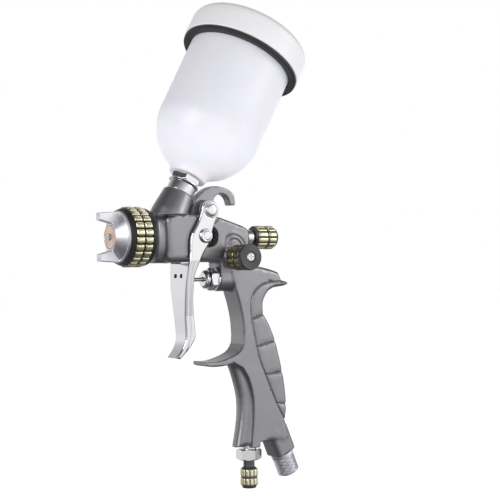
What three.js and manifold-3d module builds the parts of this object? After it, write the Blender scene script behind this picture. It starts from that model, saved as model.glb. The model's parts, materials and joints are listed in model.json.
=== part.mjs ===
// Gravity-feed HVLP spray gun, in millimetres with +Z up.
// The gun sprays towards -X, and its left side faces -Y.
// Everything is built around the barrel's axis, and the last lines move the origin to the hook's seat.
import * as THREE from "three";
import { mergeVertices } from "three/addons/utils/BufferGeometryUtils.js";
import Module from "manifold-3d";

const wasm = await Module();
wasm.setup();

// ---------- driving dimensions ----------
const GAP = 0.3; // clearance between neighbouring pieces
const ROUND = 18; // facets on a full turn of an ordinary piece
const LARGE_ROUND = 28; // on the air cap, the cup and the lid
const HOOK_SEAT = new THREE.Vector3(13.8, 0, 25.1); // from the barrel's axis
const HOOK_HALF = 3.1;
const HOOK_GAP = { x: 13.8, z: 19.4, r: 5.7 };

const BODY_HALF = 8.6; // half width of the head's sides
const HANDLE_HALF = 7.5;
const NOSE_HALF = 4.4;
const WAIST_R = 14.5;
const NECK_HALF = 6.4; // half width of the neck between the ring and the head
const SPIGOT = { front: -44.6, rear: -35, r: 12.4 };
const BODY_REAR = 31.3;

const RING = { front: -51.6, rear: -35.9, r: 16.7, core: 15.9, pads: 24 };
const CAP_FACE_X = -57;
const CAP_RIM = { x: -51.3, r: 14.15 };
const DISC_R = 6.4;
const HORN = { tip: -64, low: 9.2, high: 13.1, half: 2.6 };

const PIVOT = { x: 1, z: 15 };
const PULL_BAR = { x: -2.8, z: 0.5, r: 3.2 };
const ARM = { inner: 9.6, outer: 11.4 };
const WEB_WALL = 1.8;

const AIR_VALVE_Z = -24;
const FAN = { x: 17.6, z: -11.8, face: -10 };
const MICROMETER_X = 32;
const HANDLE_FOOT = -122.2;

const CUP_TILT = THREE.MathUtils.degToRad(61.3); // from +X towards +Z
const CUP_FOOT = new THREE.Vector3(-10, 0, 29.8); // where the cup's washer face seats
const INLET_TILT = THREE.MathUtils.degToRad(-67.2);
const INLET_END = new THREE.Vector3(60.9, 0, -140.3);
const INLET_THREAD_R = 13.157 / 2; // G1/4

// ---------- solids ----------
function toSolid(geometry) {
  const bare = geometry.index ? geometry.toNonIndexed() : geometry;
  bare.deleteAttribute("normal");
  bare.deleteAttribute("uv");
  const merged = mergeVertices(bare, 1e-4);
  const index = merged.index.array;
  const kept = [];
  for (let i = 0; i < index.length; i += 3) {
    const [a, b, c] = index.slice(i, i + 3);
    if (a !== b && b !== c && c !== a) {
      kept.push(a, b, c);
    }
  }
  return new wasm.Manifold(
    new wasm.Mesh({
      numProp: 3,
      vertProperties: merged.attributes.position.array,
      triVerts: new Uint32Array(kept),
    }),
  );
}

function place(solid, matrix) {
  return solid.transform(matrix.elements);
}

// A matrix that takes local +Y to a direction and the local origin to a point.
function aimed(direction, origin) {
  const turn = new THREE.Quaternion().setFromUnitVectors(new THREE.Vector3(0, 1, 0), direction);
  return new THREE.Matrix4().compose(origin, turn, new THREE.Vector3(1, 1, 1));
}

const ORIGIN = new THREE.Vector3();
const ALONG_X = aimed(new THREE.Vector3(1, 0, 0), ORIGIN);
const ALONG_Y = new THREE.Matrix4();
const ALONG_Z = aimed(new THREE.Vector3(0, 0, 1), ORIGIN);
const CUP_AXIS = new THREE.Vector3(Math.cos(CUP_TILT), 0, Math.sin(CUP_TILT));
const ON_CUP = aimed(CUP_AXIS, CUP_FOOT);
const INLET_AXIS = new THREE.Vector3(Math.cos(INLET_TILT), 0, Math.sin(INLET_TILT));
const ON_INLET = aimed(INLET_AXIS, INLET_END);

function at(matrix, x, y, z) {
  return new THREE.Matrix4().makeTranslation(x, y, z).multiply(matrix);
}

// A turned piece. Its profile holds [distance along the axis, radius] pairs in either sense.
function turned(profile, matrix = ALONG_X, facets = ROUND) {
  const points = profile.map(([along, radius]) => new THREE.Vector2(radius, along));
  const first = points[0];
  const last = points[points.length - 1];
  if (first.x > 0 || last.x > 0) {
    points.push(first.clone());
  }
  if (THREE.ShapeUtils.area(points) < 0) {
    points.reverse();
  }
  return place(toSolid(new THREE.LatheGeometry(points, facets)), matrix);
}

function rod(from, to, radius, matrix = ALONG_X, facets = ROUND) {
  return turned([[from, 0], [from, radius], [to, radius], [to, 0]], matrix, facets);
}

function sleeve(from, to, inner, outer, matrix = ALONG_X, facets = ROUND) {
  return turned([[from, inner], [from, outer], [to, outer], [to, inner]], matrix, facets);
}

function rodBetween(start, end, radius, facets = ROUND) {
  const from = new THREE.Vector3(start[0], 0, start[1]);
  const to = new THREE.Vector3(end[0], 0, end[1]);
  const length = from.distanceTo(to);
  const direction = to.clone().sub(from).normalize();
  return rod(0, length, radius, aimed(direction, from), facets);
}

function extruded(points, depth) {
  const shape = new THREE.Shape(points.map(([x, y]) => new THREE.Vector2(x, y)));
  return toSolid(new THREE.ExtrudeGeometry(shape, { depth, bevelEnabled: false }));
}

// A plate with its outline in X and Z, between two values of Y.
function plate(outline, low, high) {
  const turn = new THREE.Matrix4().makeRotationX(Math.PI / 2);
  return place(extruded(outline, high - low), at(turn, 0, high, 0));
}

// A bar with its outline in Y and Z, between two values of X.
function bar(outline, low, high) {
  const basis = new THREE.Matrix4().makeBasis(
    new THREE.Vector3(0, 1, 0),
    new THREE.Vector3(0, 0, 1),
    new THREE.Vector3(1, 0, 0),
  );
  return place(extruded(outline, high - low), at(basis, low, 0, 0));
}

function block(low, high) {
  const outline = [[low[0], low[2]], [high[0], low[2]], [high[0], high[2]], [low[0], high[2]]];
  return plate(outline, low[1], high[1]);
}

function smooth(points, count) {
  const curve = new THREE.SplineCurve(points.map(([x, y]) => new THREE.Vector2(x, y)));
  return curve.getPoints(count).map((p) => [p.x, p.y]);
}

// Points on an arc, with its angles in degrees.
function arc(x, y, radius, from, to, steps) {
  return Array.from({ length: steps + 1 }, (_, i) => {
    const angle = THREE.MathUtils.degToRad(from + ((to - from) * i) / steps);
    return [x + radius * Math.cos(angle), y + radius * Math.sin(angle)];
  });
}

function hexagon(acrossFlats, from, to, matrix = ALONG_X) {
  return rod(from, to, acrossFlats / Math.sqrt(3), matrix, 6);
}

function joined(...solids) {
  return solids.reduce((a, b) => a.add(b));
}

function cut(solid, ...tools) {
  return tools.reduce((a, b) => a.subtract(b), solid);
}

// Rows of raised pads round a core, as on the ring and the knobs.
function padRows(rows, radius, core, pads, matrix) {
  const share = 0.36; // half a pad's share of its pitch
  const outline = [];
  for (let i = 0; i < pads; i += 1) {
    const step = 360 / pads;
    const middle = i * step;
    outline.push(arc(0, 0, core, middle - share * step - 1, middle - share * step - 1, 1)[0]);
    outline.push(...arc(0, 0, radius, middle - share * step, middle + share * step, 1));
    outline.push(arc(0, 0, core, middle + share * step + 1, middle + share * step + 1, 1)[0]);
  }
  const upright = new THREE.Matrix4().makeRotationX(-Math.PI / 2);
  return joined(
    ...rows.map(([from, to]) => {
      const lifted = at(upright, 0, from, 0);
      return place(extruded(outline, to - from), matrix.clone().multiply(lifted));
    }),
  );
}

// A coil spring between two places on its axis.
class Helix extends THREE.Curve {
  constructor(from, to, radius, turns) {
    super();
    Object.assign(this, { from, to, radius, turns });
  }

  getPoint(t, target = new THREE.Vector3()) {
    const angle = t * this.turns * 2 * Math.PI;
    const along = THREE.MathUtils.lerp(this.from, this.to, t);
    return target.set(this.radius * Math.cos(angle), along, this.radius * Math.sin(angle));
  }
}

function spring(from, to, radius, wire, turns, matrix) {
  const corners = 4;
  const section = new THREE.Shape(
    Array.from({ length: corners }, (_, i) => {
      const angle = (i / corners) * 2 * Math.PI;
      return new THREE.Vector2(wire * Math.cos(angle), wire * Math.sin(angle));
    }),
  );
  const extrudePath = new Helix(from + wire, to - wire, radius, turns);
  const steps = Math.round(turns * 7);
  return place(toSolid(new THREE.ExtrudeGeometry(section, { steps, extrudePath })), matrix);
}

// ---------- materials ----------
function finish(color, metalness, roughness) {
  return new THREE.MeshStandardMaterial({ color, metalness, roughness });
}

const FINISH = {
  paint: finish(0x7c7a80, 0.75, 0.42),
  chrome: finish(0xe6e6ea, 1, 0.12),
  steel: finish(0xb9bcc0, 1, 0.3),
  brass: finish(0xcdb56a, 0.95, 0.28),
  black: finish(0x1d1d20, 0.6, 0.38),
  copper: finish(0xc98b6b, 0.95, 0.3),
  cup: finish(0xe8e6f4, 0, 0.35),
  lid: finish(0xf2f1f4, 0, 0.4),
  rubber: finish(0x1f1f22, 0, 0.7),
  plastic: finish(0xd9d9d4, 0, 0.5),
};

const gun = new THREE.Group();
gun.position.copy(HOOK_SEAT).negate();

function add(name, material, solid) {
  const mesh = solid.getMesh();
  const geometry = new THREE.BufferGeometry();
  geometry.setAttribute("position", new THREE.BufferAttribute(mesh.vertProperties, 3));
  geometry.setIndex(new THREE.BufferAttribute(mesh.triVerts, 1));
  geometry.computeVertexNormals();
  const piece = new THREE.Mesh(geometry, material);
  piece.name = name;
  gun.add(piece);
}

// ---------- body: one forging with the head, hook and handle ----------
function headSolid() {
  const section = [
    [-BODY_HALF, 12.6],
    [-BODY_HALF, -10.5],
    ...arc(-5, -10.6, 3.6, 180, 270, 3),
    ...arc(5, -10.6, 3.6, 270, 360, 3),
    [BODY_HALF, -10.5],
    [BODY_HALF, 12.6],
  ];
  const side = [
    [4, -14.2],
    [4, 12.6],
    [6, 12.1],
    [9, 11.3],
    [19.9, 8],
    [28.5, 5.6],
    [29, -5],
    [33, -9],
    [33.6, -14],
    [37, -17.2],
    [20, -17.6],
    [14, -14.2],
  ];
  const neckSide = [[-36, WAIST_R], [-34.5, 13.3], [-32.6, 9.9], [-30.6, 7.2], [-28.6, NECK_HALF], [-19, NECK_HALF]];
  const neckPlan = [...neckSide, ...neckSide.map(([x, y]) => [x, -y]).reverse()];
  const neckWidth = place(extruded(neckPlan, 2 * WAIST_R + 2), at(ALONG_Y, 0, 0, -WAIST_R - 1));
  return joined(
    rod(-35.6, -20, WAIST_R, ALONG_X, LARGE_ROUND).intersect(neckWidth),
    rod(SPIGOT.front, SPIGOT.rear, SPIGOT.r, ALONG_X, LARGE_ROUND),
    bar(section, -26, 6),
    plate(side, -BODY_HALF, BODY_HALF),
    turned([[18, 0], [18, 8.4], [26, 7.6], [BODY_REAR, 5.8], [BODY_REAR, 0]]),
  );
}

function handleSolid() {
  const front = smooth([[16.4, -16], [19.7, -28.5], [22.9, -38.7], [24.9, -47.9], [25.6, -57]], 5);
  const rest = smooth([[25.2, -61.5], [22.6, -65.4], [17.3, -68.3], [7.3, -70.8], [-0.6, -70.6]], 6);
  const restUnder = smooth([[-0.9, -72.4], [1.4, -73.4], [6, -73.7], [12, -73.4], [17.8, -72.1]], 5);
  const lowerFront = smooth([[23.8, -75.3], [28.1, -82], [31.2, -93], [31.3, -106], [29.6, -122]], 6);
  const foot = [[29.6, HANDLE_FOOT], [35.5, HANDLE_FOOT], [35.6, -119.2], [48.8, -120], [56.6, -119]];
  const rear = smooth([[55.3, -113.2], [54.3, -107.5], [55.1, -98], [53.1, -81.1], [47.7, -60.1]], 6);
  const waist = smooth([[43.8, -51.5], [39.9, -44.8], [39.4, -38], [43, -31.9], [47.7, -29.4]], 6);
  const spur = [[54.8, -28.6], [57.8, -27.7], [57.2, -26.6], [53.1, -25.1]];
  const hump = smooth([[50.8, -20.6], [44.5, -18.6], [36.8, -17]], 3);
  const outline = [
    ...hump,
    ...front,
    ...rest,
    ...restUnder,
    ...lowerFront,
    ...foot,
    ...rear,
    ...waist,
    ...spur,
  ];
  const nose = [
    ...smooth([[18.4, -72.5], [21.4, -80.3], [24.7, -93], [24.6, -106], [21.6, -121.6]], 6),
    [34, HANDLE_FOOT],
    [34, -72.5],
  ];
  return joined(plate(outline, -HANDLE_HALF, HANDLE_HALF), plate(nose, -NOSE_HALF, NOSE_HALF));
}

function hookSolid() {
  const outer = smooth(
    [[-7.3, 18.3], [-3, 22.4], [1.8, 26.5], [8, 29.3], [16.3, 28.5], [22.1, 25.2], [23.4, 19.7]],
    9,
  );
  const tip = [[22.9, 18.6], [20.1, 18.6]];
  const inner = arc(HOOK_GAP.x, HOOK_GAP.z, HOOK_GAP.r, 8, 172, 7);
  const outline = [[-9, 11], ...outer, ...tip, ...inner, [7.5, 16.5], [6.5, 11]];
  const { x, z } = HOOK_SEAT;
  const seat = block([x - 1, -HOOK_HALF - 0.1, z - 1.2], [x + 1, HOOK_HALF + 0.1, z]);
  return cut(plate(outline, -HOOK_HALF, HOOK_HALF), seat);
}

function bodySolid() {
  const valveBoss = [[-7, -12], ...arc(0, AIR_VALVE_Z, 7, 180, 360, 10), [7, -12]];
  const fanBoss = rod(FAN.face, 0, 8.2, at(ALONG_Y, FAN.x, 0, FAN.z));
  const fanCrown = rod(FAN.face, 0, 8.2, at(ALONG_Y, FAN.x - 0.4, 0, FAN.z + 5));
  const pivotBoss = rod(-8.9, 8.9, 6, at(ALONG_Y, PIVOT.x, 0, PIVOT.z));
  const outside = joined(
    headSolid(),
    handleSolid(),
    hookSolid(),
    pivotBoss,
    bar(valveBoss, 10.5, 21),
    fanBoss,
    fanCrown,
    turned([[-33, 0], [-33, 10.9], [-19, 10.6], [-6.4, 9.1], [-6.4, 0]], ON_CUP),
    rod(-30, -13.9, 7, ON_INLET),
  );
  const windowOutline = [
    ...arc(1.6, 0.3, 6, -90, 90, 9),
    ...arc(-1, 0.3, 6, 90, 270, 9),
  ];
  return cut(
    outside,
    rod(-46, -36.4, 5, ALONG_X),
    rod(-37, -20, 3.6),
    rod(-21, -6, 1.6),
    rod(-16, -6, 3),
    plate(windowOutline, -12, 12),
    rod(6, BODY_REAR + 1, 4),
    rod(22, BODY_REAR + 1, 4.8),
    rod(-46, 17, 1.8, at(ALONG_X, 0, 0, -9), 12),
    rod(-12, 2, 3.6, at(ALONG_Y, FAN.x, 0, FAN.z)),
    rod(9, 34.5, 4.5, at(ALONG_X, 0, 0, AIR_VALVE_Z)),
    rodBetween([20, -10], [20, AIR_VALVE_Z], 2.2, 12),
    rodBetween([26, AIR_VALVE_Z], [MICROMETER_X, -72], 2.6, 16),
    rodBetween([MICROMETER_X, -72], [56, -128.4], 3.4, 16),
    rod(-26, -10, 4.6, ON_INLET),
    rod(-124, -111, 4.6, at(ALONG_Z, MICROMETER_X, 0, 0)),
    rod(-112, -72, 3, at(ALONG_Z, MICROMETER_X, 0, 0), 16),
    rod(-14, -6, 7.5, ON_CUP),
    rod(-34, -13, 3.4, ON_CUP, 16),
    rod(-14, 14, 2.3, at(ALONG_Y, PIVOT.x, 0, PIVOT.z)),
  );
}
add("gun_body", FINISH.paint, bodySolid());

// ---------- head: nozzle, air distributor, needle packing ----------
add(
  "fluid_nozzle",
  FINISH.steel,
  turned([
    [-57.4, 0.7],
    [-57.4, 1.4],
    [-55.2, 1.5],
    [-50.2, 4.6],
    [-47.7, 4.6],
    [-47.7, 6.2],
    [-44.9, 6.2],
    [-44.9, 4.7],
    [-37, 4.7],
    [-37, 2.2],
    [-52, 2.2],
    [-56.2, 0.7],
  ]),
);
add("air_distributor", FINISH.plastic, sleeve(-46.8, -44.9, 6.6, 11.2));
add("needle_packing", FINISH.plastic, sleeve(-15.6, -11.6, 1.4, 2.7, ALONG_X, 14));
add("packing_nut", FINISH.brass, sleeve(-11.2, -7.4, 1.4, 2.7, ALONG_X, 14));

// ---------- air cap, its ring and its retaining ring ----------
function airCapSolid() {
  const shell = turned(
    [
      [CAP_FACE_X, DISC_R],
      [CAP_FACE_X, 6.9],
      [CAP_RIM.x, CAP_RIM.r],
      [-49, CAP_RIM.r],
      [-49, 14.9],
      [-47.3, 14.9],
      [-47.3, 11.6],
      [-50.2, 11.6],
      [-54.4, 5.2],
      [-55.4, 5.2],
      [-55.4, DISC_R],
    ],
    ALONG_X,
    LARGE_ROUND,
  );
  const horn = (side) =>
    plate(
      [
        [HORN.tip, side * HORN.low],
        [HORN.tip, side * HORN.high],
        [-52.4, side * 13.9],
        [-51.4, side * 12.6],
        [-53.5, side * 10],
        [-56, side * 7],
      ],
      -HORN.half,
      HORN.half,
    );
  return joined(shell, horn(1), horn(-1));
}
add("air_cap", FINISH.chrome, airCapSolid());
add("air_cap_insert", FINISH.copper, sleeve(-57.1, -55.7, 1.9, DISC_R - GAP));
add("cap_retaining_ring", FINISH.plastic, sleeve(-46.9, -45.8, 13.1, 14.8, ALONG_X, LARGE_ROUND));

function ringSolid() {
  const core = turned(
    [
      [RING.front, 14.5],
      [RING.front, 15],
      [-49.8, RING.core],
      [-39, RING.core],
      [RING.rear, 15.6],
      [RING.rear, 12.8],
      [-45.4, 12.8],
      [-45.4, 15.2],
      [-49.3, 15.2],
      [-49.3, 14.5],
    ],
    ALONG_X,
    LARGE_ROUND,
  );
  const pads = padRows([[-48.95, -44.05], [-43.4, -38.75]], RING.r, RING.core, RING.pads, ALONG_X);
  return joined(core, cut(pads, rod(-52, -34, RING.core - 0.3, ALONG_X, LARGE_ROUND)));
}
add("air_cap_ring", FINISH.black, ringSolid());

// ---------- needle, its collar, spring and adjuster ----------
add(
  "fluid_needle",
  FINISH.steel,
  turned(
    [
      [-57.4, 0],
      [-57.4, 0.15],
      [-56.2, 0.4],
      [-53.4, 1.1],
      [4.5, 1.1],
      [4.5, 1.5],
      [29, 1.5],
      [29, 0],
    ],
    ALONG_X,
    16,
  ),
);
add("needle_collar", FINISH.steel, sleeve(0.75, 4.2, 1.4, 3.5, ALONG_X, 14));
add("needle_spring", FINISH.steel, spring(4.8, 19.4, 2.7, 0.4, 7, ALONG_X));
add("adjuster_sleeve", FINISH.chrome, sleeve(22.3, 36, 3.4, 4.5));
add("needle_spring_seat", FINISH.plastic, sleeve(19.8, 21, 1.8, 3.1, ALONG_X, 14));

// A black knob with two rows of pads, turned about a line, and the stem that it turns with.
// It runs from its neck's side to its free end, and rim is the radius of the free end's edge.
function knobSolid({ from, to, rows, radius, rim, matrix, pads, neck }) {
  const core = radius - 0.7;
  const toward = Math.sign(to - from);
  const body = turned(
    [
      [from, 0],
      [from, core - 0.6],
      [from + 0.8 * toward, core],
      [to - 1.6 * toward, core],
      [to - 0.7 * toward, rim],
      [to, rim - 0.4],
      [to, 0],
    ],
    matrix,
  );
  return joined(body, padRows(rows, radius, core, pads, matrix), neck);
}
add(
  "fluid_knob",
  FINISH.black,
  cut(
    knobSolid({
      from: 36.4,
      to: 52.1,
      rows: [[37.4, 44.3], [45, 50.4]],
      radius: 7.1,
      rim: 6,
      matrix: ALONG_X,
      pads: 12,
      neck: rod(21.4, 37, 2.8),
    }),
    rod(21, 36, 1.9, ALONG_X, 14),
  ),
);

// ---------- trigger, pull bar and pivot ----------
function triggerSolid() {
  const edgeFront = smooth([[-4.6, 15], [-7.2, 8.5], [-11.9, 0.2], [-12.9, -9], [-14.3, -23]], 6);
  const bladeFront = smooth([[-14.6, -31], [-14.1, -44], [-13.4, -56], [-15.4, -62.3], [-19.6, -67.4]], 7);
  const bladeRear = smooth([[-16.6, -68.2], [-11.4, -63.3], [-7.2, -57.2], [-7.1, -52], [-9.2, -35]], 6);
  const edgeRear = smooth([[-9.4, -23.5], [-7.5, -17], [-3.9, -9.5], [1.6, -1.5], [2.3, 3.7], [5.4, 11]], 7);
  const head = arc(PIVOT.x, PIVOT.z, 5.7, -35, 180, 8);
  const outline = [...edgeFront, ...bladeFront, ...bladeRear, ...edgeRear, ...head];
  const halfWidth = (offset) => [
    [ARM.outer - offset, 22],
    [ARM.outer - offset, -13],
    [7 - offset, -44],
    [6.3 - offset, -58],
    [5.6 - offset, -69],
  ];
  const frontView = (offset) => {
    const right = halfWidth(offset);
    const left = right.map(([y, z]) => [-y, z]).reverse();
    return bar([...right, ...left], -30, 14);
  };
  const webRear = smooth(
    [[-12.3, -14.6], [-12.5, -23], [-12.8, -31], [-12.3, -44], [-11.6, -55], [-13.2, -61.4], [-18.8, -69.5]],
    11,
  );
  const behindWeb = [...webRear, [20, -69.5], [20, -14.6]];
  const inside = plate(behindWeb, -20, 14).intersect(frontView(WEB_WALL));
  const blank = plate(outline, -20, 14).intersect(frontView(0));
  const armsOnly = block([-30, -ARM.inner, -14.7], [20, ARM.inner, 24]);
  return cut(
    blank,
    inside,
    armsOnly,
    rod(-14, 14, 2.3, at(ALONG_Y, PIVOT.x, 0, PIVOT.z)),
    rod(-14, 14, 2.4, at(ALONG_Y, PULL_BAR.x, 0, PULL_BAR.z)),
    rod(-20, -8, 1, at(ALONG_X, 0, -3.15, -21.8), 12),
    rod(-20, -8, 1, at(ALONG_X, 0, 3.15, -21.8), 12),
  );
}
add("trigger", FINISH.chrome, triggerSolid());

function dome(from, to, radius) {
  return [[from, 0], [from, radius], [(from + to) / 2, radius * 0.93], [to, radius * 0.55], [to, 0]];
}

function pullBarSolid() {
  const matrix = at(ALONG_Y, PULL_BAR.x, 0, PULL_BAR.z);
  const whole = joined(
    rod(-9.2, 9.2, PULL_BAR.r, matrix),
    rod(-12, 12, 2.1, matrix, 14),
    turned(dome(11.7, 13, 4.1), matrix),
    turned(dome(-11.7, -13, 4.1), matrix),
  );
  const slot = block([PULL_BAR.x - 4, -1.8, PULL_BAR.z - 2.3], [PULL_BAR.x + 4, 1.8, PULL_BAR.z + 2.3]);
  return cut(whole, slot);
}
add("pull_bar", FINISH.chrome, pullBarSolid());

const ON_PIVOT = at(ALONG_Y, PIVOT.x, 0, PIVOT.z);
const pinHead = [[-13.1, 0], [-13.1, 2], [-12.5, 3.4], [-11.7, 3.6]];
const pinShank = [[-11.7, 2], [11.6, 2], [11.6, 1.4], [13, 1.4], [13, 0]];
add("pivot_pin", FINISH.chrome, turned([...pinHead, ...pinShank], ON_PIVOT));
const nutProfile = [[11.9, 1.7], [11.9, 3.6], [12.8, 3.3], [13.1, 2.6], [13.1, 1.7]];
add("pivot_nut", FINISH.chrome, turned(nutProfile, ON_PIVOT));

// ---------- air valve ----------
const ON_VALVE = at(ALONG_X, 0, 0, AIR_VALVE_Z);
add(
  "air_valve_housing",
  FINISH.chrome,
  cut(
    joined(
      hexagon(11.2, 5, 9.3, ON_VALVE),
      rod(9.2, 10.2, 6.6, ON_VALVE),
      rod(10, 16, 4.2, ON_VALVE),
    ),
    rod(4, 17, 1.5, ON_VALVE, 14),
    rod(4, 8.2, 3.1, ON_VALVE, 14),
  ),
);
add(
  "valve_packing_nut",
  FINISH.chrome,
  turned(
    [[1.8, 1.4], [1.8, 3.8], [2.9, 5.3], [4, 5.3], [4.5, 4.6], [4.5, 2.8], [6.4, 2.8], [6.4, 1.4]],
    ON_VALVE,
  ),
);
add("stem_packing", FINISH.plastic, sleeve(6.8, 7.9, 1.4, 2.8, ON_VALVE, 14));
add(
  "air_valve_stem",
  FINISH.steel,
  turned([[-12, 0], [-12, 0.8], [-11.6, 1.1], [19, 1.1], [19, 0]], ON_VALVE, 16),
);
add("valve_poppet", FINISH.rubber, sleeve(16.4, 18.6, 1.4, 3.6, ON_VALVE, 14));
add("air_valve_spring", FINISH.steel, spring(19.2, 34, 3, 0.45, 7, ON_VALVE));

// ---------- fan control ----------
const ON_FAN = at(ALONG_Y, FAN.x, 0, FAN.z);
add(
  "fan_bushing",
  FINISH.black,
  cut(joined(rod(-11.5, -10.3, 5.6, ON_FAN), rod(-10.5, -5.3, 3.3, ON_FAN)), rod(-12, 0, 2.2, ON_FAN, 14)),
);
add("fan_seal", FINISH.rubber, sleeve(-0.9, 0.2, 2.2, 3.3, ON_FAN, 14));
add(
  "fan_knob",
  FINISH.black,
  cut(
    knobSolid({
      from: -11.9,
      to: -26.4,
      rows: [[-18.2, -12.9], [-24.2, -18.9]],
      radius: 7.5,
      rim: 6.8,
      matrix: ON_FAN,
      pads: 12,
      neck: joined(rod(1.2, -12.5, 1.9, ON_FAN), rod(-20, -26.4, 6, ON_FAN)),
    }),
    rod(-25.2, -27, 3, ON_FAN, 14),
    rod(-20, -26, 1.5, ON_FAN, 16),
  ),
);
add(
  "fan_knob_screw",
  FINISH.chrome,
  joined(rod(-25.5, -26.4, 2.7, ON_FAN, 14), rod(-20.4, -25.6, 1.2, ON_FAN, 16)),
);

// ---------- air inlet and air micrometer ----------
function inletSolid() {
  const threads = [];
  for (let i = 0; i < 5; i += 1) {
    const crest = -2 - i * 1.7;
    threads.push([crest, INLET_THREAD_R - 0.8], [crest - 0.85, INLET_THREAD_R]);
  }
  return turned(
    [
      [0, 4],
      [0, INLET_THREAD_R - 1.2],
      [-0.9, INLET_THREAD_R],
      ...threads,
      [-10.3, INLET_THREAD_R],
      [-10.5, 6.1],
      [-11, 6.1],
      [-11.3, 6.75],
      [-13.6, 6.75],
      [-13.6, 4.3],
      [-25, 4.3],
      [-25, 3],
      [-3, 3],
      [-3, 4],
    ],
    ON_INLET,
  );
}
add("air_inlet_nipple", FINISH.chrome, inletSolid());

const ON_MICROMETER = at(ALONG_Z, MICROMETER_X, 0, 0);
add(
  "micrometer_housing",
  FINISH.chrome,
  cut(
    joined(hexagon(13, -129.6, -123.2, ON_MICROMETER), rod(-124, -114, 4.3, ON_MICROMETER)),
    rod(-131, -111, 2.4, ON_MICROMETER, 14),
  ),
);
add("micrometer_seal", FINISH.rubber, sleeve(-104.9, -103.9, 2.1, 2.8, ON_MICROMETER, 14));
add(
  "micrometer_knob",
  FINISH.black,
  joined(
    knobSolid({
      from: -134,
      to: -146,
      rows: [[-139.4, -134.8], [-144.4, -140]],
      radius: 5.35,
      rim: 4.4,
      matrix: ON_MICROMETER,
      pads: 12,
      neck: rod(-134.5, -130, 3.3, ON_MICROMETER),
    }),
    turned([[-131, 0], [-131, 1.8], [-80, 1.8], [-75, 0.6], [-75, 0]], ON_MICROMETER, 16),
  ),
);

// ---------- cup, lid and their fittings, along the cup's axis ----------
add(
  "inlet_collar",
  FINISH.chrome,
  turned(
    [[-13.6, 5.5], [-13.6, 7.2], [-6.1, 7.2], [-6.1, 8], [-0.9, 8], [-0.3, 7.6], [-0.3, 5.5]],
    ON_CUP,
    LARGE_ROUND,
  ),
);
add(
  "cup_adapter",
  FINISH.chrome,
  cut(
    joined(
      rod(-12, 0.2, 5.2, ON_CUP),
      rod(0, 0.7, 8.8, ON_CUP, LARGE_ROUND),
      hexagon(15.6, 0.6, 4.5, ON_CUP),
      rod(4.4, 10, 6.2, ON_CUP),
    ),
    rod(-13, 11, 3.6, ON_CUP, 14),
  ),
);
add("paint_filter", FINISH.plastic, cut(rod(-9, 12.6, 3.2, ON_CUP, 14), rod(-8, 13, 2.5, ON_CUP, 14)));

function cupSolid() {
  const outside = smooth(
    [[4.9, 10.6], [8.5, 12.3], [11.5, 16.3], [15.5, 21.3], [23.2, 26.8], [32.7, 30], [42, 30.3]],
    10,
  );
  const inside = smooth([[42, 28.6], [33, 28.1], [24.2, 25.2], [16.9, 20], [13, 14.8], [11.6, 9.6]], 7);
  const mouth = [[97, 30.8], [97, 28.9]];
  const socket = [[11, 6.5], [4.9, 6.5]];
  return turned([...outside, ...mouth, ...inside, ...socket], ON_CUP, LARGE_ROUND);
}
add("cup", FINISH.cup, cupSolid());
const bandProfile = [[82, 31.2], [82, 35], [82.4, 35.4], [84, 35.4], [84, 31.2]];
add("cup_band", FINISH.rubber, turned(bandProfile, ON_CUP, LARGE_ROUND));

function lidSolid() {
  const corner = arc(96.5, 30.6, 5.3, 90, 15, 3);
  return turned(
    [
      [84.4, 33.6],
      [84.4, 36],
      [95, 35.9],
      ...corner,
      [102.6, 20],
      [103, 2.2],
      [100.6, 2.2],
      [100.2, 20],
      [99.4, 30],
      [96.5, 33.6],
    ],
    ON_CUP,
    LARGE_ROUND,
  );
}
add("lid", FINISH.lid, lidSolid());
add("lid_seal", FINISH.plastic, sleeve(97.4, 98.9, 28.6, 30.4, ON_CUP, LARGE_ROUND));
add(
  "drip_check_valve",
  FINISH.plastic,
  turned([[96.5, 0], [96.5, 2.6], [97.4, 4], [99.8, 4], [99.8, 1.8], [102.8, 1.8], [102.8, 0]], ON_CUP, 14),
);

export default gun;
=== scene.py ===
import json
import math

import bmesh
import bpy
import numpy as np
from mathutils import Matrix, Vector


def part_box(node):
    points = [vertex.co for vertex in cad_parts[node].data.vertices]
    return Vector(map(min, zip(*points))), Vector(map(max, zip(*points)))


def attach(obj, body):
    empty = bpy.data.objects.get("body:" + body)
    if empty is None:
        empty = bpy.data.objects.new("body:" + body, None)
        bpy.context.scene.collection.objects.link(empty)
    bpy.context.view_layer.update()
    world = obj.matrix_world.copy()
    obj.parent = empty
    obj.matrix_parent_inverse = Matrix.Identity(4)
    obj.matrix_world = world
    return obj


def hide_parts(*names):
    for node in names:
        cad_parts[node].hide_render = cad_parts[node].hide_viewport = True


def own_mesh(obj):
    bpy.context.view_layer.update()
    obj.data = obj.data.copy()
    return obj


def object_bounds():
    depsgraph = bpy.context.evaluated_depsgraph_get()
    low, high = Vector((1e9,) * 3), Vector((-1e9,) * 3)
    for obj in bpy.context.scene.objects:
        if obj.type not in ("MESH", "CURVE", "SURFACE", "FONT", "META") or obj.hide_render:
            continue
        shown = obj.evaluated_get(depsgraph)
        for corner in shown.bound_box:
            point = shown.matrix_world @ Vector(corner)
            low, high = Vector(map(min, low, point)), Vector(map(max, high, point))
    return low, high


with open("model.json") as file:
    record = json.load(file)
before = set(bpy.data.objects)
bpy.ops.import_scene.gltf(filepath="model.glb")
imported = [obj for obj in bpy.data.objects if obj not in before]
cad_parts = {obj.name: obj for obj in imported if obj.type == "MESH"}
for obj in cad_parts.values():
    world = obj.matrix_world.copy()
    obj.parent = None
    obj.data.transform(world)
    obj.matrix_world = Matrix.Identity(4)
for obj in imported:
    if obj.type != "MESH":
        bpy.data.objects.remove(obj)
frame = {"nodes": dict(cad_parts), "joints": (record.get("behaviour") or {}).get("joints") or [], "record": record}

import openvdb
from mathutils import Matrix, Vector

cad_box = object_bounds()

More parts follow.
